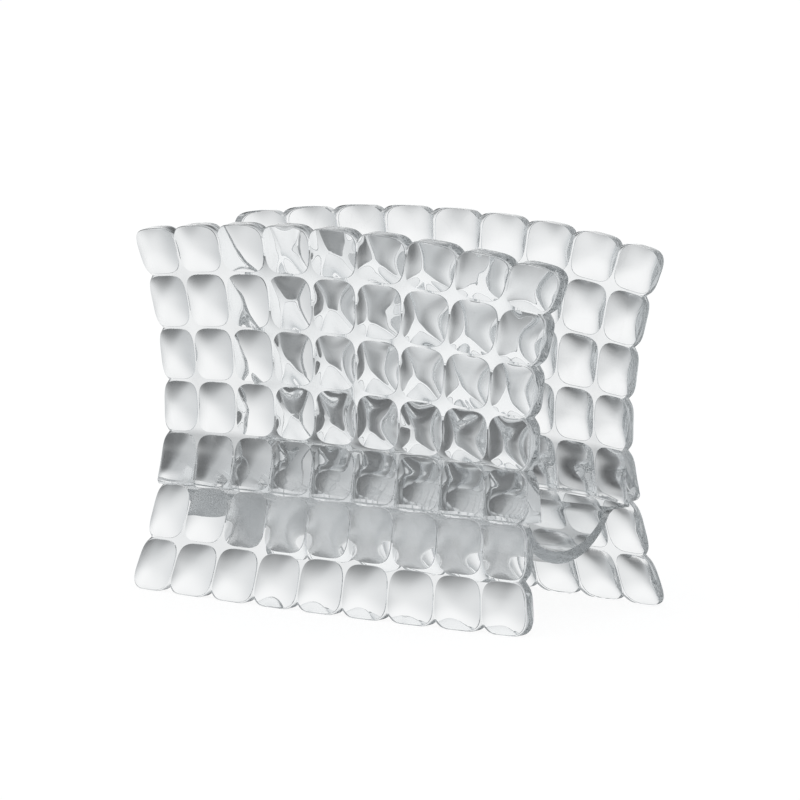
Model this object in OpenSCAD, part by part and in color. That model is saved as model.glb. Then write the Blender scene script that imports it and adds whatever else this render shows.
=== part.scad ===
// Napkin holder in clear acrylic: two quilted panels bonded to a U-shaped trough.
// Millimetres. The origin is under the middle at the feet, X runs along the holder,
// the front panel faces -Y and Z is up.
// A place on a panel is given in pads: column from the left end, row from the top edge.

/* [Pads] */
// Pads along a panel
pad_columns = 9; // [5:2:13]
// Column pitch at the waist
waist_pitch = 16.3; // [14:0.1:19]
// Column pitch at the top edge
top_pitch = 19.4; // [17:0.1:22]
// Column pitch at the feet
foot_pitch = 17.9; // [15:0.1:20]
// Row pitch between the crease and the top row
row_pitch = 16.3; // [14:0.1:19]
// Height of the top row
top_row_pitch = 15.2; // [13:0.1:18]
// Row pitch of the legs
leg_pitch = 17.2; // [15:0.1:20]
// Height of a pad over the web between the pads
pad_rise = 2.1; // [1.2:0.1:3]
// Groove between two pads, where they are closest
pad_gap = 0.75; // [0.5:0.05:1.2]
// How far the outline stays inside the pad grid
edge_inset = 0.75; // [0.5:0.05:1]
// Width of the flat rim outside the pads along the outline
rim = 0.25; // [0.2:0.05:0.4]
// Draft of the outline: how much wider the inner face is there
edge_spread = 0.35; // [0.2:0.05:0.6]

/* [Panels] */
// From the middle plane to the web of the upright wall, at the ends
wall_depth = 27.15; // [25:0.05:34]
// How much further out the crease lies
crease_out = 2.2; // [1:0.1:4]
// Overhang of the fifth pad row over the top of the legs
crease_step = 0.9; // [0.4:0.1:1.2]
// How much further out than the crease the feet stand
foot_out = 8.1; // [4:0.1:12]
// Outward bow of the top edge
top_bow = 6.2; // [3:0.1:9]
// Outward bow at the crease and below
low_bow = 4.2; // [2:0.1:6]
// Rise of the top edge in the middle
top_crown = 7.8; // [4:0.1:11]
// Wall thickness at the top edge, without the pads
top_wall = 3.6; // [2.5:0.1:5]
// Wall thickness above the waist
waist_wall = 4.7; // [4:0.1:6]
// Wall thickness at the crease, over the ledge
crease_wall = 6.8; // [6:0.1:8]
// Leg thickness
leg_wall = 3; // [2.4:0.1:4]

/* [Trough] */
// Height of the trough floor over the table
floor_height = 21; // [19:0.1:23]
// Opening of the trough between its lips
trough_opening = 42; // [38:0.1:43]
// Thickness of the trough floor
trough_floor = 3.8; // [3:0.1:5]
// Thickness of the trough's sides at the opening
trough_side = 3.2; // [2.6:0.1:3.4]
// Slope of a lip, rising outwards
lip_slope = 25; // [20:1:30]
// Upright thickness of a lip
lip_wall = 1; // [0.8:0.1:1.2]
// How deep a lip sits in its groove
tongue = 1.5; // [1:0.1:1.8]
// How far the trough ends stay inside the panel ends at the crease
end_inset = 8.5; // [7.5:0.1:14]
// How far the lips flare out past the trough ends
lip_flare = 5.4; // [3:0.1:5.6]
// Bond gap round a lip in its groove
bond_gap = 0.05; // [0.02:0.01:0.1]

/* [Hidden] */
clear = [0.86, 0.9, 0.92, 0.45];

upper_rows = 5;
leg_rows = 2;
rows = upper_rows + leg_rows;
half_columns = pad_columns / 2;

// A pad is a rounded square: a superellipse, rounder at the corners of the panel.
pad_exponent = 3.7;
corner_exponent = 2.8;
pad_reach = 1 - pad_gap / waist_pitch;
rim_reach = 1 - 2 * edge_inset / waist_pitch;
free_reach = rim_reach - 2 * rim / waist_pitch;
// Points round a pad, as directions from its middle, and where they fall on the cell's sides.
directions = [for (quarter = [0:3]) for (turn = [0, 27, 45, 63]) quarter * 90 + turn];
ring = len(directions);
side_share = 0.52;
// The V between two edge pads ends at this share of a half cell.
notch_share = 0.62;
// The dome's profile is this share of a round arc's half width, drawn with one ring on the way.
dome_arc = 0.6;
dome_ring_share = 0.7;
// The domes of the top row are this much taller than their pads, so the top edge cuts them.
top_stretch = 1.5;
// The pads over the crease hang as eaves: nearly square below, with a lower edge that dips in the middle.
eave_exponent = 14;
eave_corner_exponent = 6;
eave_reach = 0.985;
eave_wave = 0.08;

// How the pitch, the crown, the bow and the flare grow along the panel.
top_flare_power = 2.3;
foot_flare_power = 2;
crown_straight_share = 0.65;
crown_power = 3;
bow_power = 1.5;
crease_flare_power = 1.5;
crease_flare_rows = 1.5;
waist_thinning = 0.2;
// The inner face reaches the crease at this row and turns there into the ledge over the leg.
last_row = upper_rows - 1;
ledge_row = last_row + (1 + side_share) / 2;
row_step = 0.003;

crease_height = leg_rows * leg_pitch;
top_height = crease_height + (upper_rows - 1) * row_pitch + top_row_pitch;
waist_height = crease_height + row_pitch;
// The feet are trimmed level, through the shoulders of the lowest pads.
foot_land = 0.05;
foot_trim = foot_land + leg_pitch / 2 * (1 + border_place(11, [false, false, false, true], rows - 1, 0).y);

// The lips meet the panels just under the ledge, in the corner between it and the leg.
lip_drop = 0.3;
crease_corner = wall_depth + crease_out - leg_wall;
crease_half = half_columns * pitch(crease_height);
bow_radius = (pow(crease_half, 2) + pow(low_bow, 2)) / (2 * low_bow);
trough_half = crease_half - end_inset;
mouth_height = lip_height(trough_opening / 2);

// Height of a row line at the panel ends.
function row_height(row) =
    row < 1 ? top_height - row * top_row_pitch
        : row < upper_rows ? crease_height + (upper_rows - row) * row_pitch
        : (rows - row) * leg_pitch;

// Height of a lip's upper face over the table at a distance from the middle plane.
function lip_height(depth) =
    crease_height - foot_trim - lip_drop + (depth - crease_corner) * tan(lip_slope);

// Radius of an arc that is this deep over this width.
function arc_radius(width, depth) = (pow(width / 2, 2) + depth * depth) / (2 * depth);

// Column pitch at a height: the panel is waisted.
function pitch(height) =
    height > waist_height
        ? waist_pitch + (top_pitch - waist_pitch)
            * pow((height - waist_height) / (top_height - waist_height), top_flare_power)
        : waist_pitch + (foot_pitch - waist_pitch) * pow(1 - height / waist_height, foot_flare_power);

// Rise of a row line in the middle of the panel.
function crown(height) =
    let (share = height / top_height, straight = crown_straight_share)
    top_crown * (straight * share + (1 - straight) * pow(share, crown_power));

// Outward bow of a row line in the middle of the panel.
function bow(height) =
    let (share = max(0, height - crease_height) / (top_height - crease_height))
    low_bow + (top_bow - low_bow) * pow(share, bow_power);

// Distance of the web from the middle plane at the panel ends: upright, then flaring to the overhang,
// then the leg, which starts at the crease line itself.
function web_depth(row) =
    let (flare = max(0, (row - upper_rows) / crease_flare_rows + 1))
    row < upper_rows - row_step / 2
        ? wall_depth + (crease_out + crease_step) * pow(flare, crease_flare_power)
        : wall_depth + crease_out + foot_out * (row - upper_rows) / leg_rows;

// Wall thickness under the web, thickest over the crease.
function wall(row) =
    row < upper_rows - row_step / 2
        ? lookup(row, [
            [0, top_wall],
            [last_row - 1, waist_wall - waist_thinning],
            [last_row, waist_wall],
            [upper_rows, crease_wall + crease_step],
        ])
        : leg_wall;

// How far across the panel a column lies, as 1 in the middle and 0 at the ends.
function arch(column) = 1 - pow((column - half_columns) / half_columns, 2);

// A point over the web by a given rise, on the outer face of the front panel.
function outer_point(column, row, rise = 0) =
    let (height = row_height(row))
    [
        pitch(height) * (column - half_columns),
        -web_depth(row) - bow(height) * arch(column) - rise,
        max(0, height + crown(height) * arch(column) - foot_trim),
    ];

// A point on the inner face behind the web.
function behind(column, row) = outer_point(column, row, -wall(row));

// The inner face's point for a place: upright down to the crease, then along the ledge to the leg.
function inner_point(column, row) =
    let (lowest = upper_rows - row_step)
    let (face = last_row + (row - last_row) * (lowest - last_row) / (ledge_row - last_row))
    let (across = min(1, (row - ledge_row) / (upper_rows - ledge_row)))
    row <= last_row || row >= upper_rows ? behind(column, row)
        : row <= ledge_row ? behind(column, face)
        : (1 - across) * behind(column, lowest) + across * behind(column, upper_rows);

// Reach of a pad's edge in a direction.
function pad_edge(direction, power) =
    pad_reach / pow(pow(abs(cos(direction)), power) + pow(abs(sin(direction)), power), 1 / power);

// Whether a cell's place in this direction hangs as an eave over the crease.
function hangs(step, row) = row == last_row && sin(directions[step]) < -0.001;

// Squareness of a pad in the quarter where a step lies.
function pad_power(step, free, row) =
    let (quarter = floor(step * 4 / ring), next = (quarter + 1) % 4)
    hangs(step, row) ? (free[quarter] || free[next] ? eave_corner_exponent : eave_exponent)
        : free[quarter] && free[next] ? corner_exponent
        : pad_exponent;

// A place in a cell at a share of the way to the edge of an inner pad.
function plain_place(step, share, free, row) =
    share * pad_edge(directions[step], pad_power(step, free, row))
        * [cos(directions[step]), sin(directions[step])];

// The same place on the pad itself, which draws in at the outline and dips along an eave.
function pad_place(step, share, free, row, draft = edge_spread) =
    let (place = plain_place(step, share, free, row))
    let (draw = free_reach / pad_reach, drafted = draw - 2 * draft / waist_pitch)
    let (dip = eave_reach / pad_reach - eave_wave * pow(place.x / pad_reach, 2))
    [
        place.x * (free[place.x > 0 ? 0 : 2] ? drafted : 1),
        place.y * (place.y > 0 ? (free[1] ? drafted : 1)
            : free[3] ? draw
            : hangs(step, row) ? dip
            : 1),
    ];

// Height of a dome over the web at a share of the way to its foot.
function dome(share) =
    let (edge = sqrt(1 - dome_arc * dome_arc))
    pad_rise * (sqrt(1 - pow(dome_arc * share, 2)) - edge) / (1 - edge);

// Height of a pad over the web: cut off by the top edge, kept up along an eave.
function pad_height(step, share, free, row) =
    let (place = plain_place(step, share, free, row), power = pad_power(step, free, row))
    let (tall = [abs(place.x), place.y / top_stretch] / pad_reach)
    dome(hangs(step, row) ? abs(place.x) / pad_reach
        : free[1] && place.y > 0 ? pow(pow(tall.x, power) + pow(tall.y, power), 1 / power)
        : share);

// Points round a cell's square, in the same steps as the pad's points.
square_ring = [for (step = [0:ring - 1])
    let (side = floor(((step + 2) % ring) / 4), along = (step + 2) % 4 - 2)
    let (slide = along == -2 ? -1 : along * side_share)
    let (place = [1, slide])
    [[1, 0], [0, 1], [-1, 0], [0, -1]][side] * place.x
        + [[0, 1], [-1, 0], [0, -1], [1, 0]][side] * place.y];

// Which sides of a cell lie on the panel's outline: right, top, left, bottom.
function free_sides(column, row) =
    [column == pad_columns - 1, row == 0, column == 0, row == rows - 1];

// Whether a step of a cell's border follows the pad, because it lies on the outline.
function border_free(step, free) =
    let (side = floor(((step + 2) % ring) / 4), along = (step + 2) % 4)
    free[side] || (along == 0 && free[(side + 3) % 4]);

// The free side whose V notch this step of a cell's border is, or -1.
function notch_side(step, free) =
    let (side = floor(((step + 2) % ring) / 4), along = (step + 2) % 4)
    let (before = (side + 3) % 4, after = (side + 1) % 4)
    border_free(step, free) ? -1
        : along == 3 && free[after] ? after
        : along == 1 && free[before] ? before
        : -1;

// A cell's border place: on the outline it follows the pad, and beside the outline it is the notch.
function border_place(step, free, row, draft) =
    let (at = notch_side(step, free))
    let (reach = notch_share - (at == 3 ? 0 : 2 * draft / waist_pitch))
    border_free(step, free) ? pad_place(step, rim_reach / free_reach, free, row, draft)
        : at >= 0 ? [for (part = square_ring[step]) abs(part) == 1 ? part : part * reach / side_share]
        : square_ring[step];

// Whether the border from this step to the next lies on the panel's outline.
function on_outline(step, free) =
    len([for (side = [0:3]) if (free[side] && (step - 4 * side + 3 + ring) % ring <= 5) side]) > 0;

// A cell's points: the dome's top, its ring, the pad's edge, the border, the border's inner side.
function cell_points(column, row) =
    let (free = free_sides(column, row))
    let (across = column + 0.5, down = row + 0.5)
    concat(
        [outer_point(across, down, pad_rise)],
        [for (share = [dome_ring_share, 1]) for (step = [0:ring - 1])
            let (place = pad_place(step, share, free, row))
            outer_point(across + place.x / 2, down - place.y / 2, pad_height(step, share, free, row))],
        [for (step = [0:ring - 1])
            let (place = border_place(step, free, row, edge_spread))
            let (height = free[1] ? pad_height(step, 1, free, row) : 0)
            outer_point(across + place.x / 2, down - place.y / 2, height)],
        [for (step = [0:ring - 1])
            let (place = border_place(step, free, row, 0))
            inner_point(across + place.x / 2, down - place.y / 2)]
    );

// A cell's faces. The inner face is in level strips between the left and the right border.
inner_strips = [
    [7, 1, 2], [7, 2, 3], [7, 3, 4], [7, 4, 5], [7, 5, 6], [7, 8, 0], [7, 0, 1],
    [8, 9, 15], [8, 15, 0], [9, 10, 11], [9, 11, 12], [9, 12, 13], [9, 13, 14], [9, 14, 15],
];
function cell_faces(column, row) =
    let (free = free_sides(column, row))
    let (first = (row * pad_columns + column) * (1 + 4 * ring))
    concat(
        [for (step = [0:ring - 1])
            let (next = (step + 1) % ring)
            [first, first + 1 + next, first + 1 + step]],
        [for (layer = [0:1]) for (step = [0:ring - 1])
            let (next = (step + 1) % ring, inside = first + 1 + layer * ring)
            each quad(inside + step, inside + next, inside + ring + next, inside + ring + step)],
        [for (step = [0:ring - 1]) if (on_outline(step, free))
            let (next = (step + 1) % ring, border = first + 1 + 2 * ring)
            each quad(border + step, border + next, border + ring + next, border + ring + step)],
        [for (corners = inner_strips) [for (corner = corners) first + 1 + 3 * ring + corner]]
    );

function quad(a, b, c, d) = [[a, b, c], [a, c, d]];

module quilted_sheet() {
    cells = [for (row = [0:rows - 1]) for (column = [0:pad_columns - 1]) [column, row]];
    polyhedron(
        points = [for (cell = cells) each cell_points(cell.x, cell.y)],
        faces = [for (cell = cells) each cell_faces(cell.x, cell.y)]
    );
}

// Runs a section, drawn across the holder, along its length.
module along(half_length) {
    rotate([90, 0, 90])
        linear_extrude(2 * half_length, center = true)
            children();
}

// The trough's plan: ends that flare at the lips, and long edges that follow the bow of the panels.
module trough_plan(gap) {
    edge = crease_corner + low_bow + tongue + gap;
    arm = trough_opening / 2 + trough_side;
    end = trough_half + gap;
    flared = end + lip_flare;
    intersection() {
        polygon([
            [end, -arm], [end, arm], [flared, crease_corner], [flared, 2 * edge],
            [-flared, 2 * edge], [-flared, crease_corner], [-end, arm], [-end, -arm],
            [-flared, -crease_corner], [-flared, -2 * edge], [flared, -2 * edge], [flared, -crease_corner],
        ]);
        translate([0, edge - bow_radius])
            circle(r = bow_radius, $fn = 360);
        translate([0, bow_radius - edge])
            circle(r = bow_radius, $fn = 360);
    }
}

// Section of the two sloping lips, from inside the opening to past the panels.
module lip_section(gap) {
    inside = trough_opening / 2 - trough_side;
    outside = wall_depth + low_bow + crease_out;
    for (side = [0, 1])
        mirror([side, 0])
            polygon([
                [inside, lip_height(inside) - lip_wall - gap],
                [outside, lip_height(outside) - lip_wall - gap],
                [outside, lip_height(outside) + gap],
                [inside, lip_height(inside) + gap],
            ]);
}

// A round arc's disc, given its lowest height and its width at the opening.
module arc_disc(low, width) {
    radius = arc_radius(width, mouth_height - low);
    translate([0, low + radius])
        circle(r = radius, $fn = 180);
}

// Section of the hollow over the floor, between the lips.
module hollow_section() {
    intersection() {
        arc_disc(floor_height, trough_opening);
        translate([-trough_opening / 2, 0])
            square([trough_opening, top_height]);
    }
}

// Section of the arched floor and its sides, up to the middle of the lips.
module floor_section() {
    mouth = trough_opening / 2;
    outside = mouth + 2 * trough_side;
    intersection() {
        arc_disc(floor_height - trough_floor, trough_opening + 2 * trough_side);
        polygon([
            [-outside, 0], [outside, 0], [outside, lip_height(outside) - lip_wall / 2],
            [mouth, mouth_height - lip_wall / 2], [-mouth, mouth_height - lip_wall / 2],
            [-outside, lip_height(outside) - lip_wall / 2],
        ]);
    }
}

// One panel: the quilted sheet with the groove for the trough's lip under its ledge.
module panel() {
    difference() {
        quilted_sheet();
        intersection() {
            along(crease_half) lip_section(bond_gap);
            linear_extrude(top_height) trough_plan(bond_gap);
        }
    }
}

module front_panel() {
    color(clear) panel();
}

module rear_panel() {
    color(clear) rotate([0, 0, 180]) panel();
}

// The cradle between the panels: an arched floor with a lip along each side.
module trough() {
    color(clear) intersection() {
        difference() {
            union() {
                along(crease_half) lip_section(0);
                along(crease_half) floor_section();
            }
            along(2 * crease_half) hollow_section();
        }
        linear_extrude(top_height) trough_plan(0);
    }
}

front_panel();
rear_panel();
trough();
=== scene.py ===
"""Looks for a clear acrylic napkin holder: two quilted panels and the trough between them.

Lengths in the shape functions are millimetres, as in the part's source; meshes are in metres.
A place on a panel is given in pads: column from the left end, row from the top edge.
"""

import math

import bpy
import numpy as np
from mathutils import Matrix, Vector


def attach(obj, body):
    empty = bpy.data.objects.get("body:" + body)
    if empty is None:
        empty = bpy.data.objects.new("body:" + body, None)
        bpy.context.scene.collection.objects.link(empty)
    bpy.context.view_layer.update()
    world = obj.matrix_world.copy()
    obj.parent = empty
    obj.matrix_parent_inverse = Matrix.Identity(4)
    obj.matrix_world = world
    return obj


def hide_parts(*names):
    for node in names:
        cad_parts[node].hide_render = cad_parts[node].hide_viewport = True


MM = 0.001

# Pads: reaches and the notch are in half cells, the eave's start and span in half pads
COLUMNS = 9
UPPER_ROWS = 5
LEG_ROWS = 2
ROWS = UPPER_ROWS + LEG_ROWS
HALF_COLUMNS = COLUMNS / 2
WAIST_PITCH = 16.3
TOP_PITCH = 19.4
FOOT_PITCH = 17.9
TOP_SPREAD_POWER = 2.3
FOOT_SPREAD_POWER = 2
ROW_PITCH = 16.3
TOP_ROW_PITCH = 15.2
LEG_PITCH = 17.2
PAD_RISE = 2.1
PAD_STEP = 0.3
STEP_SHARE = 1.012
PAD_GAP = 0.75
EDGE_INSET = 0.75
RIM = 0.45
EDGE_DRAFT = 0.35
SQUARENESS = 3.7
CORNER_SQUARENESS = 2.8
NOTCH = 0.62
DOME_ARC = 0.6
TOP_STRETCH = 1.5
EAVE_SQUARENESS = 7.0
EAVE_CORNER_SQUARENESS = 6.0
EAVE_REACH = 0.95
EAVE_WAVE = 0.11
EAVE_SWELL = 1.15
EAVE_START = 0.35
EAVE_SPAN = 1.1
PAD_REACH = 1 - PAD_GAP / WAIST_PITCH
RIM_REACH = 1 - 2 * EDGE_INSET / WAIST_PITCH
FREE_REACH = RIM_REACH - 2 * RIM / WAIST_PITCH

# Panels: slits and spans over the crease are in rows
WALL_DEPTH = 27.15
CREASE_OUT = 2.2
CREASE_STEP = 0.9
CREASE_SLIT = 0.002
CREASE_FLARE_ROWS = 1.5
CREASE_FLARE_POWER = 1.5
FOOT_OUT = 8.1
TOP_BOW = 6.2
LOW_BOW = 4.2
BOW_POWER = 1.5
TOP_CROWN = 7.8
CROWN_EVEN = 0.65
CROWN_LATE = 0.35
TOP_WALL = 3.6
WAIST_WALL = 4.7
WAIST_TAPER = 0.2
CREASE_WALL = 6.8
LEG_WALL = 3.0
LEDGE_SPAN = 0.25
LEDGE_ROW = UPPER_ROWS - LEDGE_SPAN
LEDGE_SLIT = 0.003
FOOT_CUT = 0.05
FOOT_TURN = math.radians(63)
CREASE_HEIGHT = LEG_ROWS * LEG_PITCH
TOP_HEIGHT = CREASE_HEIGHT + (UPPER_ROWS - 1) * ROW_PITCH + TOP_ROW_PITCH
WAIST_HEIGHT = CREASE_HEIGHT + ROW_PITCH

# Trough
FLOOR_HEIGHT = 21.0
TROUGH_OPENING = 42.0
TROUGH_FLOOR = 3.8
TROUGH_SIDE = 3.2
LIP_SLOPE = math.tan(math.radians(25))
LIP_WALL = 1.0
LIP_FLARE = 5.4
END_INSET = 8.5
LIP_DROP = 0.3
CREASE_CORNER = WALL_DEPTH + CREASE_OUT - LEG_WALL
BOND_GAP = 0.03

# Finish: the least rise and the edge turn are parts of a face's unit normal
SURFACE_TINT = (0.985, 0.992, 0.995, 1)
DEPTH_TINT = (0.8, 0.81, 0.815, 1)
DEPTH_DENSITY = 20
ACRYLIC_INDEX = 1.49
SATIN = 0.09
LEAST_RISE = 0.01
EDGE_TURN = 0.5
RIPPLES_PER_METRE = 90
RIPPLE_DEPTH = 0.0006

# Camera
VIEW_AZIMUTH = math.radians(37.32)
VIEW_ELEVATION = math.radians(8.27)
VIEW_DISTANCE = 2.6963
AIM_HEIGHT = 0.06208
SENSOR = 36
LENS = 384.6
SHIFT = (0.00336, 0.00264)
CLIP = (0.05, 50)

# Studio: places and fades of light are in degrees, belt heights in sines
ROOM_GREY = 0.46
ROOM_TINT = (0.95, 0.98, 1, 1)
ROOM_TILT = 0.14
BELT_LIGHT = 0.15
BELT_HEIGHT = 0.1
BELT_FADE = (0.45, 0.1)
SHADE_PLACE = (8, -33)
SHADE_SPREAD = (24, 6)
SHADE_DEPTH = -0.34
BACKDROP_PLACE = 3
BACKDROP_FOCUS = 12
BEHIND_FOCUS = 2
BACKDROP_FADE = (-26, -4)
TABLE_FADE = (-45, -65)
TABLE_SIZE = 8
TABLE_GREY = (0.8, 0.8, 0.8, 1)
TABLE_ROUGHNESS = 0.7
TABLE_GLOW = 0.9
TABLE_SHADE = (0.25, 0.25, 0.25, 1)
LIGHT_BOUNCES = 48

# Mesh fineness
SHARP_ANGLE = math.radians(24)
SIDE_STEPS = 16
RING = 4 * SIDE_STEPS
ARC_STEPS = 24
LIP_STEPS = 8
TROUGH_STEPS = 60
ARM_STEPS = 60
LIP_SEARCH_STEPS = 801
LIP_SEARCH_ROWS = 0.3
EDGE_MIXES = (0.06, 0.5, 0.94, 1)
MERGE_STEPS_PER_METRE = 3.3e6
TINY = 1e-9
ROUND_TURNS = (12, 30, 50, 70, 90)
DOME_SHARES = (0.1, 0.22, 0.35, 0.48, 0.6, 0.7, 0.79, 0.86, 0.915, 0.955, 0.98, 1.0)


def pad_edge(direction, power):
    """Reach of a rounded square's edge in a direction, in half cells."""
    across = np.abs(np.cos(direction)) ** power
    up = np.abs(np.sin(direction)) ** power
    return PAD_REACH / (across + up) ** (1 / power)


# Height of the cut that makes the lowest pads stand level
FOOT_TRIM = FOOT_CUT + LEG_PITCH / 2 * (
    1 - RIM_REACH / PAD_REACH * float(pad_edge(FOOT_TURN, SQUARENESS)) * math.sin(FOOT_TURN)
)


def row_height(row):
    """Height of a row's line at the ends of a panel, before the feet are cut."""
    upper = CREASE_HEIGHT + (UPPER_ROWS - row) * ROW_PITCH
    top = TOP_HEIGHT - row * TOP_ROW_PITCH
    return np.where(row < 1, top, np.where(row < UPPER_ROWS, upper, (ROWS - row) * LEG_PITCH))


def pitch(height):
    """Width of a column, least at the waist."""
    share = np.maximum(0, (height - WAIST_HEIGHT) / (TOP_HEIGHT - WAIST_HEIGHT))
    low = np.maximum(0, 1 - height / WAIST_HEIGHT)
    top_spread = (TOP_PITCH - WAIST_PITCH) * share**TOP_SPREAD_POWER
    return WAIST_PITCH + top_spread + (FOOT_PITCH - WAIST_PITCH) * low**FOOT_SPREAD_POWER


def crown(height):
    """How far the middle of a row's line lies over its ends."""
    share = height / TOP_HEIGHT
    return TOP_CROWN * (CROWN_EVEN * share + CROWN_LATE * share**3)


def bow(height):
    """How far the middle of a panel lies out from its ends."""
    share = np.maximum(0, height - CREASE_HEIGHT) / (TOP_HEIGHT - CREASE_HEIGHT)
    return LOW_BOW + (TOP_BOW - LOW_BOW) * share**BOW_POWER


def web_depth(row):
    """Distance of the web from the middle of the holder, at the ends of a panel."""
    share = np.maximum(0, (row - UPPER_ROWS + CREASE_FLARE_ROWS) / CREASE_FLARE_ROWS)
    flare = share**CREASE_FLARE_POWER
    upper = WALL_DEPTH + (CREASE_OUT + CREASE_STEP) * flare
    leg = WALL_DEPTH + CREASE_OUT + FOOT_OUT * (row - UPPER_ROWS) / LEG_ROWS
    return np.where(row < UPPER_ROWS - CREASE_SLIT, upper, leg)


def wall(row):
    """Wall thickness under the web, thickest over the crease."""
    places = (0, UPPER_ROWS - 2, UPPER_ROWS - 1, UPPER_ROWS)
    sizes = (TOP_WALL, WAIST_WALL - WAIST_TAPER, WAIST_WALL, CREASE_WALL + CREASE_STEP)
    return np.where(row < UPPER_ROWS, np.interp(row, places, sizes), LEG_WALL)


def arch(column):
    """Share of the bow and the crown along a panel: none at its ends, all in its middle."""
    return 1 - ((column - HALF_COLUMNS) / HALF_COLUMNS) ** 2


def outer_point(column, row, rise):
    """Points over the web by a given rise, on the outer face of the front panel."""
    height = row_height(row)
    x = pitch(height) * (column - HALF_COLUMNS)
    y = -web_depth(row) - bow(height) * arch(column) - rise
    z = np.maximum(0, height + crown(height) * arch(column) - FOOT_TRIM)
    return np.stack([x, y, z], -1)


def inner_point(column, row):
    """The points behind them on the inner face, which ends in a level ledge over the legs."""
    last = UPPER_ROWS - 1
    lowest = UPPER_ROWS - LEDGE_SLIT
    face_row = last + (row - last) * (lowest - last) / (LEDGE_ROW - last)
    upper_row = np.where(row > last, np.minimum(face_row, lowest), row)
    upper = outer_point(column, upper_row, -wall(upper_row))
    leg_row = np.maximum(row, UPPER_ROWS)
    leg = outer_point(column, leg_row, -wall(leg_row))
    across = np.clip((row - LEDGE_ROW) / (UPPER_ROWS - LEDGE_ROW), 0, 1)[..., None]
    return upper * (1 - across) + leg * across


def dome(share):
    """Rise of a pad at a share of the way to its edge, where it ends in a small step."""
    edge = math.sqrt(1 - DOME_ARC**2)
    bulge = (np.sqrt(1 - (DOME_ARC * share) ** 2) - edge) / (1 - edge)
    return PAD_STEP + (PAD_RISE - PAD_STEP) * bulge


# Directions round a cell, evenly spaced along the sides of its square
SIDE = np.arange(-SIDE_STEPS // 2, SIDE_STEPS // 2) * 2 / SIDE_STEPS
DIRECTIONS = np.concatenate([np.arctan(SIDE) + quarter * math.pi / 2 for quarter in range(4)])
SQUARE = np.stack([np.cos(DIRECTIONS), np.sin(DIRECTIONS)], -1)
SQUARE = SQUARE / np.abs(SQUARE).max(-1, keepdims=True)


def pad_ring(share, free, draft, eave=False):
    """Places round a cell at a share of the way to the pad's edge, and their rise over the web.

    free says which of the right, top, left and bottom sides lie on the panel's outline, where the edge
    draws in. The top edge cuts its domes before they come down to the web, and a pad with an eave swells
    on down to the crease.
    """
    quarter = np.floor(DIRECTIONS / (math.pi / 2)).astype(int) % 4
    corner = np.array([free[q] and free[(q + 1) % 4] for q in range(4)])[quarter]
    end = np.array([free[q] or free[(q + 1) % 4] for q in range(4)])[quarter]
    hangs = eave & (np.sin(DIRECTIONS) < -TINY)
    low = np.where(end, EAVE_CORNER_SQUARENESS, EAVE_SQUARENESS)
    full = np.where(hangs, low, np.where(corner, CORNER_SQUARENESS, SQUARENESS))
    power = 2 + (full - 2) * min(share, 1) ** 2
    reach = share * pad_edge(DIRECTIONS, power)
    a = reach * np.cos(DIRECTIONS)
    b = reach * np.sin(DIRECTIONS)
    dome_share = np.where(hangs, np.abs(a) / PAD_REACH, share)
    if free[1]:
        stretched = np.where(b > 0, b / TOP_STRETCH, b)
        cut = (np.abs(a) ** power + np.abs(stretched) ** power) ** (1 / power) / PAD_REACH
        dome_share = np.where(b > 0, cut, dome_share)
    wave = EAVE_REACH / PAD_REACH - EAVE_WAVE * (a / PAD_REACH) ** 2
    draw = FREE_REACH / PAD_REACH
    drafted = draw - 2 * draft / WAIST_PITCH
    right = drafted if free[0] else 1
    left = drafted if free[2] else 1
    top = drafted if free[1] else 1
    bottom = draw if free[3] else np.where(hangs, wave, 1)
    place = np.stack([a * np.where(a > 0, right, left), b * np.where(b > 0, top, bottom)], -1)
    step = np.clip((EAVE_START - b / PAD_REACH) / EAVE_SPAN, 0, 1)
    swell = EAVE_SWELL * step**2 * (3 - 2 * step) if eave else 0
    return place, dome(dome_share) * (1 + swell)


def border(free, draft):
    """A cell's border places, and which of its steps lie on the panel's outline.

    Beside a free side the border goes in to the notch between two outer pads.
    """
    place = SQUARE.copy()
    rim, _ = pad_ring(RIM_REACH / FREE_REACH, free, draft)
    outline = np.zeros(RING, bool)
    half = SIDE_STEPS // 2
    for side in range(4):
        if not free[side]:
            continue
        first = side * SIDE_STEPS
        steps = np.arange(first, first + SIDE_STEPS + 1) % RING
        place[steps] = rim[steps]
        outline[np.arange(first, first + SIDE_STEPS) % RING] = True
        for turn, other in ((1, (side + 1) % 4), (-1, (side + 3) % 4)):
            if free[other]:
                continue
            reach = NOTCH - (0 if side == 3 else 2 * draft / WAIST_PITCH)
            corner = (first + SIDE_STEPS if turn > 0 else first) % RING
            apex = SQUARE[(corner + turn * half // 2) % RING].copy()
            along = 0 if side in (0, 2) else 1
            apex[along] = math.copysign(reach, apex[along])
            for count in range(1, half + 1):
                step = (corner + turn * count) % RING
                if count <= half // 2:
                    mix = count / (half // 2)
                    place[step] = rim[corner] * (1 - mix) + apex * mix
                    outline[step if turn < 0 else (step - 1) % RING] = True
                else:
                    rest = 1 - (count - half // 2) / (half // 2)
                    place[step][along] = math.copysign(reach * rest, apex[along]) if rest else 0
    return place, outline


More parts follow.
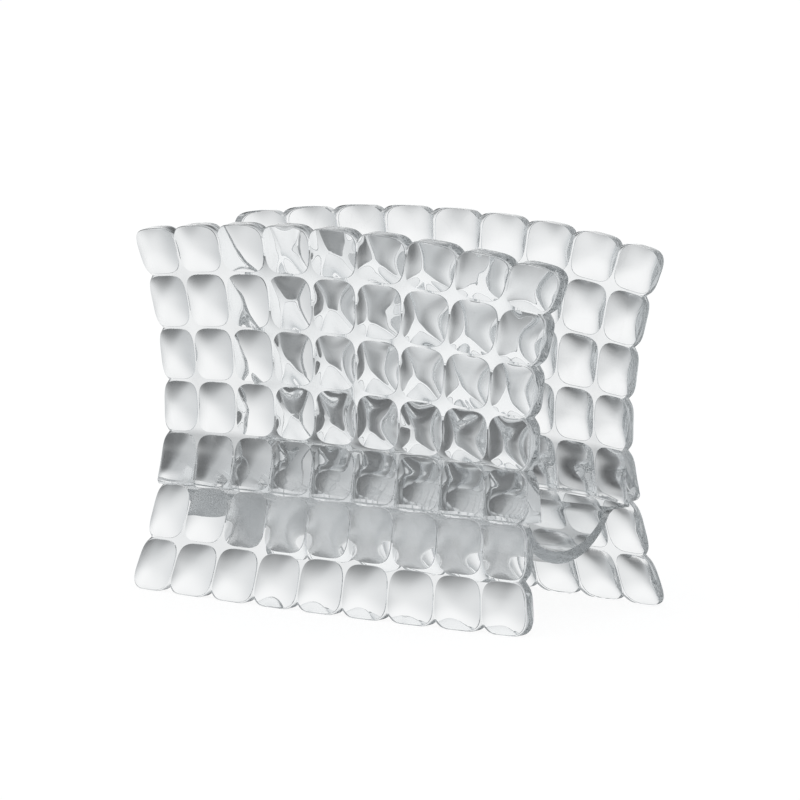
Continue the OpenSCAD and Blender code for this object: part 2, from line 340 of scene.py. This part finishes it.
class Sheet:
    """Gathers the vertices and faces of a mesh."""

    def __init__(self):
        self.points = []
        self.faces = []
        self.count = 0

    def add(self, points):
        first = self.count
        self.points.append(points)
        self.count += len(points)
        return first

    def strip(self, inside, outside, steps):
        """Quads between two rings of the same length."""
        for step in steps:
            after = (step + 1) % RING
            self.faces.append((inside + step, outside + step, outside + after, inside + after))

    def build(self, name):
        """The closed mesh, with points that fall together merged."""
        points = np.concatenate(self.points) * MM
        mesh = bpy.data.meshes.new(name)
        key = np.round(points * MERGE_STEPS_PER_METRE).astype(np.int64)
        kept, where = np.unique(key, axis=0, return_inverse=True)
        where = where.ravel()
        merged = np.zeros((len(kept), 3))
        merged[where] = points
        faces = []
        for face in self.faces:
            loop = []
            for corner in face:
                if not loop or where[corner] not in (loop[-1], loop[0]):
                    loop.append(int(where[corner]))
            if len(loop) > 2:
                faces.append(loop)
        mesh.from_pydata(merged.tolist(), [], faces)
        mesh.validate()
        mesh.update()
        mesh.polygons.foreach_set("use_smooth", [True] * len(mesh.polygons))
        mesh.set_sharp_from_angle(angle=SHARP_ANGLE)
        piece = bpy.data.objects.new(name, mesh)
        bpy.context.scene.collection.objects.link(piece)
        return piece


def coons(place):
    """A grid of places that fills a cell's border, rows from the bottom, columns from the left."""
    count = SIDE_STEPS + 1
    right = place[np.arange(0, count)]
    top = place[np.arange(SIDE_STEPS, SIDE_STEPS + count)][::-1]
    left = place[np.arange(2 * SIDE_STEPS, 2 * SIDE_STEPS + count)][::-1]
    bottom = place[np.arange(3 * SIDE_STEPS, 3 * SIDE_STEPS + count) % RING]
    u = np.linspace(0, 1, count)[None, :, None]
    v = np.linspace(0, 1, count)[:, None, None]
    ruled = (1 - v) * bottom[None] + v * top[None] + (1 - u) * left[:, None] + u * right[:, None]
    corners = (
        (1 - u) * (1 - v) * bottom[0]
        + u * (1 - v) * bottom[-1]
        + (1 - u) * v * top[0]
        + u * v * top[-1]
    )
    return ruled - corners


def add_cell(sheet, column, row):
    """One pad with the web, edge and inner face of its cell."""
    free = (column == COLUMNS - 1, row == 0, column == 0, row == ROWS - 1)

    def spot(place):
        return column + 0.5 + place[..., 0] / 2, row + 0.5 - place[..., 1] / 2

    everywhere = range(RING)
    eave = row == UPPER_ROWS - 1
    middle, top_rise = pad_ring(0, free, EDGE_DRAFT, eave)
    centre = sheet.add(outer_point(*spot(middle[:1]), top_rise[:1]))
    before = None
    for share in DOME_SHARES:
        place, rise = pad_ring(share, free, EDGE_DRAFT, eave)
        ring = sheet.add(outer_point(*spot(place), rise))
        if before is None:
            for step in everywhere:
                sheet.faces.append((centre, ring + step, ring + (step + 1) % RING))
        else:
            sheet.strip(before, ring, everywhere)
        before = ring
    edge, _ = pad_ring(STEP_SHARE, free, EDGE_DRAFT, eave)
    rim_rise = np.maximum(0, rise - PAD_STEP)
    ring = sheet.add(outer_point(*spot(edge), rim_rise))
    sheet.strip(before, ring, everywhere)
    before = ring
    outside, outline = border(free, EDGE_DRAFT)
    inside, _ = border(free, 0)
    rounded = RIM * (outline | np.roll(outline, 1))
    for turn in np.radians(ROUND_TURNS):
        mix = math.sin(turn)
        place = edge * (1 - mix) + outside * mix
        hold = 1 if free[1] else math.cos(turn)
        outer = outer_point(*spot(place), rim_rise * hold - rounded * (1 - math.cos(turn)))
        ring = sheet.add(outer)
        sheet.strip(before, ring, everywhere)
        before = ring
    inner = inner_point(*spot(inside))
    steps = np.flatnonzero(outline)
    for mix in EDGE_MIXES:
        ring = sheet.add(outer * (1 - mix) + inner * mix)
        sheet.strip(before, ring, steps)
        before = ring
    grid = coons(inside)
    first = sheet.add(inner_point(*spot(grid)).reshape(-1, 3))
    count = SIDE_STEPS + 1
    for j in range(SIDE_STEPS):
        for i in range(SIDE_STEPS):
            low = first + j * count + i
            sheet.faces.append((low, low + count, low + count + 1, low + 1))


def make_panel(name, turned):
    """A quilted panel with its legs: the front one, or the rear one turned round."""
    sheet = Sheet()
    for row in range(ROWS):
        for column in range(COLUMNS):
            add_cell(sheet, column, row)
    if turned:
        sheet.points = [points * np.array([-1, -1, 1]) for points in sheet.points]
    return sheet.build(name)


def lip_height(depth):
    """Height of a lip's top face at a distance from the middle of the holder."""
    return CREASE_HEIGHT - FOOT_TRIM - LIP_DROP + (depth - CREASE_CORNER) * LIP_SLOPE


def lip_end(x, lowered):
    """Where a lip's face, lowered from the top one, meets a panel's inner face."""
    rows = np.linspace(LEDGE_ROW, UPPER_ROWS + LIP_SEARCH_ROWS, LIP_SEARCH_STEPS)
    column = x / pitch(row_height(rows)) + HALF_COLUMNS
    points = inner_point(column, rows)
    depth = -points[:, 1]
    miss = points[:, 2] - (lip_height(depth) - lowered)
    return float(np.interp(0, miss[::-1], depth[::-1])) - BOND_GAP


def make_trough(name):
    """The arched floor with its two sloping lips, in sections along the holder."""
    mouth = TROUGH_OPENING / 2
    mouth_height = lip_height(mouth)
    arm = mouth + TROUGH_SIDE
    low = FLOOR_HEIGHT - TROUGH_FLOOR
    half = HALF_COLUMNS * float(pitch(np.array(CREASE_HEIGHT))) - END_INSET
    flared = half + LIP_FLARE

    def arc(lowest, width, depths):
        deep = mouth_height - lowest
        radius = (width**2 / 4 + deep**2) / (2 * deep)
        return lowest + radius - np.sqrt(radius**2 - depths**2)

    depths = np.linspace(mouth, arm + TROUGH_SIDE, ARM_STEPS)
    gaps = arc(low, 2 * arm, depths) - (lip_height(depths) - LIP_WALL)
    meet = float(np.interp(0, gaps, depths))
    across = np.linspace(0, 1, ARC_STEPS + 1)
    inner_arc = mouth * across
    outer_arc = meet * across
    along_lip = np.linspace(0, 1, LIP_STEPS + 1)[1:]
    sheet = Sheet()
    starts = []
    for station in np.linspace(-1, 1, TROUGH_STEPS + 1):
        x = station * flared
        lip_top = mouth + (lip_end(x, 0) - mouth) * along_lip
        lip_foot = meet + (lip_end(x, LIP_WALL) - meet) * along_lip
        upper = np.stack([
            np.concatenate([inner_arc, lip_top]),
            np.concatenate([arc(FLOOR_HEIGHT, TROUGH_OPENING, inner_arc), lip_height(lip_top)]),
        ], -1)
        lower = np.stack([
            np.concatenate([outer_arc, lip_foot]),
            np.concatenate([arc(low, 2 * arm, outer_arc), lip_height(lip_foot) - LIP_WALL]),
        ], -1)
        mirror = np.array([-1, 1])
        upper = np.concatenate([upper[:0:-1] * mirror, upper])
        lower = np.concatenate([lower[:0:-1] * mirror, lower])
        section = np.concatenate([upper, lower])
        reach = np.interp(np.abs(section[:, 0]), (arm, CREASE_CORNER), (half, flared))
        starts.append(sheet.add(np.stack([station * reach, section[:, 0], section[:, 1]], -1)))
    count = 2 * (ARC_STEPS + LIP_STEPS) + 1
    loop = list(range(count)) + list(range(2 * count - 1, count - 1, -1))
    for before, after in zip(starts, starts[1:]):
        for one, two in zip(loop, loop[1:] + loop[:1]):
            sheet.faces.append((before + one, after + one, after + two, before + two))
    for step in range(count - 1):
        upper = starts[0] + step
        lower = upper + count
        sheet.faces.append((upper, upper + 1, lower + 1, lower))
        upper = starts[-1] + step
        lower = upper + count
        sheet.faces.append((upper, lower, lower + 1, upper + 1))
    return sheet.build(name)


def dress(piece, main, other, is_other):
    """One material on a piece's main faces, and another on those that a test of the normal picks."""
    piece.data.materials.append(main)
    piece.data.materials.append(other)
    for face in piece.data.polygons:
        face.material_index = int(is_other(face.normal))


def acrylic(name, roughness):
    """Clear moulded acrylic with a faint cool tint."""
    material = bpy.data.materials.new(name)
    material.use_nodes = True
    tree = material.node_tree
    shader = tree.nodes["Principled BSDF"]
    shader.inputs["Base Color"].default_value = SURFACE_TINT
    shader.inputs["Roughness"].default_value = roughness
    shader.inputs["IOR"].default_value = ACRYLIC_INDEX
    shader.inputs["Transmission Weight"].default_value = 1
    depth = tree.nodes.new("ShaderNodeVolumeAbsorption")
    depth.inputs["Color"].default_value = DEPTH_TINT
    depth.inputs["Density"].default_value = DEPTH_DENSITY
    tree.links.new(depth.outputs[0], tree.nodes["Material Output"].inputs["Volume"])
    return material


def polished_acrylic():
    """Polished faces, with the slight ripple that thick acrylic gets as it shrinks."""
    material = acrylic("clear_acrylic", 0)
    tree = material.node_tree
    place = tree.nodes.new("ShaderNodeTexCoord")
    waves = tree.nodes.new("ShaderNodeTexNoise")
    waves.inputs["Scale"].default_value = RIPPLES_PER_METRE
    waves.inputs["Detail"].default_value = 0
    ripple = tree.nodes.new("ShaderNodeBump")
    ripple.inputs["Distance"].default_value = RIPPLE_DEPTH
    tree.links.new(place.outputs["Object"], waves.inputs["Vector"])
    tree.links.new(waves.outputs["Fac"], ripple.inputs["Height"])
    tree.links.new(ripple.outputs["Normal"], tree.nodes["Principled BSDF"].inputs["Normal"])
    return material


def aim(right, up):
    """A direction from the object, in degrees right of and above straight away from the camera."""
    turn = VIEW_AZIMUTH - math.radians(right)
    level = math.cos(math.radians(up))
    return Vector((-math.sin(turn) * level, math.cos(turn) * level, math.sin(math.radians(up))))


def studio():
    """A cool grey room, lighter to the left and dim under the backdrop.

    Clear faces show a white backdrop ahead of the camera and behind it, and a white table top far below.
    """
    world = bpy.data.worlds.new("studio")
    bpy.context.scene.world = world
    world.use_nodes = True
    nodes = world.node_tree.nodes
    links = world.node_tree.links
    nodes.clear()

    def feed(socket, value):
        if isinstance(value, (int, float)):
            socket.default_value = value
        else:
            links.new(value, socket)

    def maths(operation, first, second):
        node = nodes.new("ShaderNodeMath")
        node.operation = operation
        feed(node.inputs[0], first)
        feed(node.inputs[1], second)
        return node.outputs[0]

    def along(direction):
        node = nodes.new("ShaderNodeVectorMath")
        node.operation = "DOT_PRODUCT"
        node.inputs[1].default_value = direction
        links.new(coord.outputs["Generated"], node.inputs[0])
        return node.outputs["Value"]

    def fade(value, ends, strength):
        node = nodes.new("ShaderNodeMapRange")
        node.interpolation_type = "SMOOTHSTEP"
        node.inputs["From Min"].default_value = ends[0]
        node.inputs["From Max"].default_value = ends[1]
        node.inputs["To Max"].default_value = strength
        links.new(value, node.inputs["Value"])
        return node.outputs[0]

    coord = nodes.new("ShaderNodeTexCoord")
    path = nodes.new("ShaderNodeLightPath")
    height = along((0, 0, 1))
    tilt = maths("MULTIPLY", along(aim(-90, 0)), ROOM_TILT)
    from_belt = maths("ABSOLUTE", maths("SUBTRACT", height, BELT_HEIGHT), 0)
    belt = fade(from_belt, BELT_FADE, BELT_LIGHT)
    shade_ends = [math.cos(math.radians(angle)) for angle in SHADE_SPREAD]
    shade = fade(along(aim(*SHADE_PLACE)), shade_ends, SHADE_DEPTH)
    light = maths("ADD", maths("ADD", tilt, belt), maths("ADD", shade, ROOM_GREY))
    middle = aim(BACKDROP_PLACE, 0)
    ahead = maths("POWER", maths("MAXIMUM", along(middle), 0), BACKDROP_FOCUS)
    behind = maths("POWER", maths("MAXIMUM", along(-middle), 0), BEHIND_FOCUS)
    sweep = fade(height, [math.sin(math.radians(angle)) for angle in BACKDROP_FADE], 1)
    backdrop = maths("MULTIPLY", maths("ADD", ahead, behind), sweep)
    table = fade(height, [math.sin(math.radians(angle)) for angle in TABLE_FADE], 1)
    pale = maths("MAXIMUM", backdrop, table)
    bent = maths("MAXIMUM", path.outputs["Is Glossy Ray"], path.outputs["Is Transmission Ray"])
    white_share = maths("MAXIMUM", path.outputs["Is Camera Ray"], maths("MULTIPLY", bent, pale))
    room = nodes.new("ShaderNodeBackground")
    room.inputs["Color"].default_value = ROOM_TINT
    links.new(light, room.inputs["Strength"])
    white = nodes.new("ShaderNodeBackground")
    white.inputs["Color"].default_value = (1, 1, 1, 1)
    mix = nodes.new("ShaderNodeMixShader")
    links.new(white_share, mix.inputs[0])
    links.new(room.outputs[0], mix.inputs[1])
    links.new(white.outputs[0], mix.inputs[2])
    out = nodes.new("ShaderNodeOutputWorld")
    links.new(mix.outputs[0], out.inputs[0])


def floor():
    """A pale table top, white to the camera, with a faint shadow of the object."""
    bpy.ops.mesh.primitive_plane_add(size=TABLE_SIZE)
    ground = bpy.context.object
    ground.name = "table_top"
    ground.visible_transmission = False
    ground.visible_glossy = False
    material = bpy.data.materials.new("table_top")
    material.use_nodes = True
    nodes = material.node_tree.nodes
    links = material.node_tree.links
    plain = nodes["Principled BSDF"]
    plain.inputs["Base Color"].default_value = TABLE_GREY
    plain.inputs["Roughness"].default_value = TABLE_ROUGHNESS
    glow = nodes.new("ShaderNodeEmission")
    glow.inputs["Strength"].default_value = TABLE_GLOW
    shade = nodes.new("ShaderNodeBsdfDiffuse")
    shade.inputs["Color"].default_value = TABLE_SHADE
    both = nodes.new("ShaderNodeAddShader")
    links.new(glow.outputs[0], both.inputs[0])
    links.new(shade.outputs[0], both.inputs[1])
    path = nodes.new("ShaderNodeLightPath")
    mix = nodes.new("ShaderNodeMixShader")
    links.new(path.outputs["Is Camera Ray"], mix.inputs[0])
    links.new(plain.outputs[0], mix.inputs[1])
    links.new(both.outputs[0], mix.inputs[2])
    links.new(mix.outputs[0], nodes["Material Output"].inputs[0])
    ground.data.materials.append(material)


def camera():
    """The photograph's viewing angle, from a fitted view of the pad grid."""
    back = Vector((
        math.sin(VIEW_AZIMUTH) * math.cos(VIEW_ELEVATION),
        -math.cos(VIEW_AZIMUTH) * math.cos(VIEW_ELEVATION),
        math.sin(VIEW_ELEVATION),
    ))
    data = bpy.data.cameras.new("camera")
    data.sensor_width = SENSOR
    data.lens = LENS
    data.shift_x, data.shift_y = SHIFT
    data.clip_start, data.clip_end = CLIP
    eye = bpy.data.objects.new("camera", data)
    bpy.context.scene.collection.objects.link(eye)
    eye.location = Vector((0, 0, AIM_HEIGHT)) + back * VIEW_DISTANCE
    eye.rotation_euler = (-back).to_track_quat("-Z", "Y").to_euler()
    bpy.context.scene.camera = eye


def light_paths():
    """Enough bounces for light that runs along inside the clear walls."""
    cycles = bpy.context.scene.cycles
    cycles.max_bounces = LIGHT_BOUNCES
    cycles.glossy_bounces = LIGHT_BOUNCES
    cycles.transmission_bounces = LIGHT_BOUNCES


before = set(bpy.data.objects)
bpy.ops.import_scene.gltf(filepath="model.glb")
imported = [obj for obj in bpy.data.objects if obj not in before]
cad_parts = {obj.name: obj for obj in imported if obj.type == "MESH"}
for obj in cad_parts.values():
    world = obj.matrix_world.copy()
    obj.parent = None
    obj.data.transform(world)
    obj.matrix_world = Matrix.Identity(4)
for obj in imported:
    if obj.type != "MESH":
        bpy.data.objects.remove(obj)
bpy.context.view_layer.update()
camera()
studio()
floor()
light_paths()
polished = polished_acrylic()
smooth = acrylic("smooth_acrylic", 0)
satin = acrylic("satin_acrylic", SATIN)
pieces = {
    "front_panel": make_panel("quilted_front", False),
    "rear_panel": make_panel("quilted_rear", True),
    "trough": make_trough("cradle"),
}
for node, piece in pieces.items():
    if node == "trough":
        dress(piece, smooth, satin, lambda normal: normal.z < LEAST_RISE)
    else:
        dress(piece, polished, smooth, lambda normal: abs(normal.y) < EDGE_TURN)
    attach(piece, "root")
    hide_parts(node)
bpy.context.scene.view_settings.view_transform = "Standard"
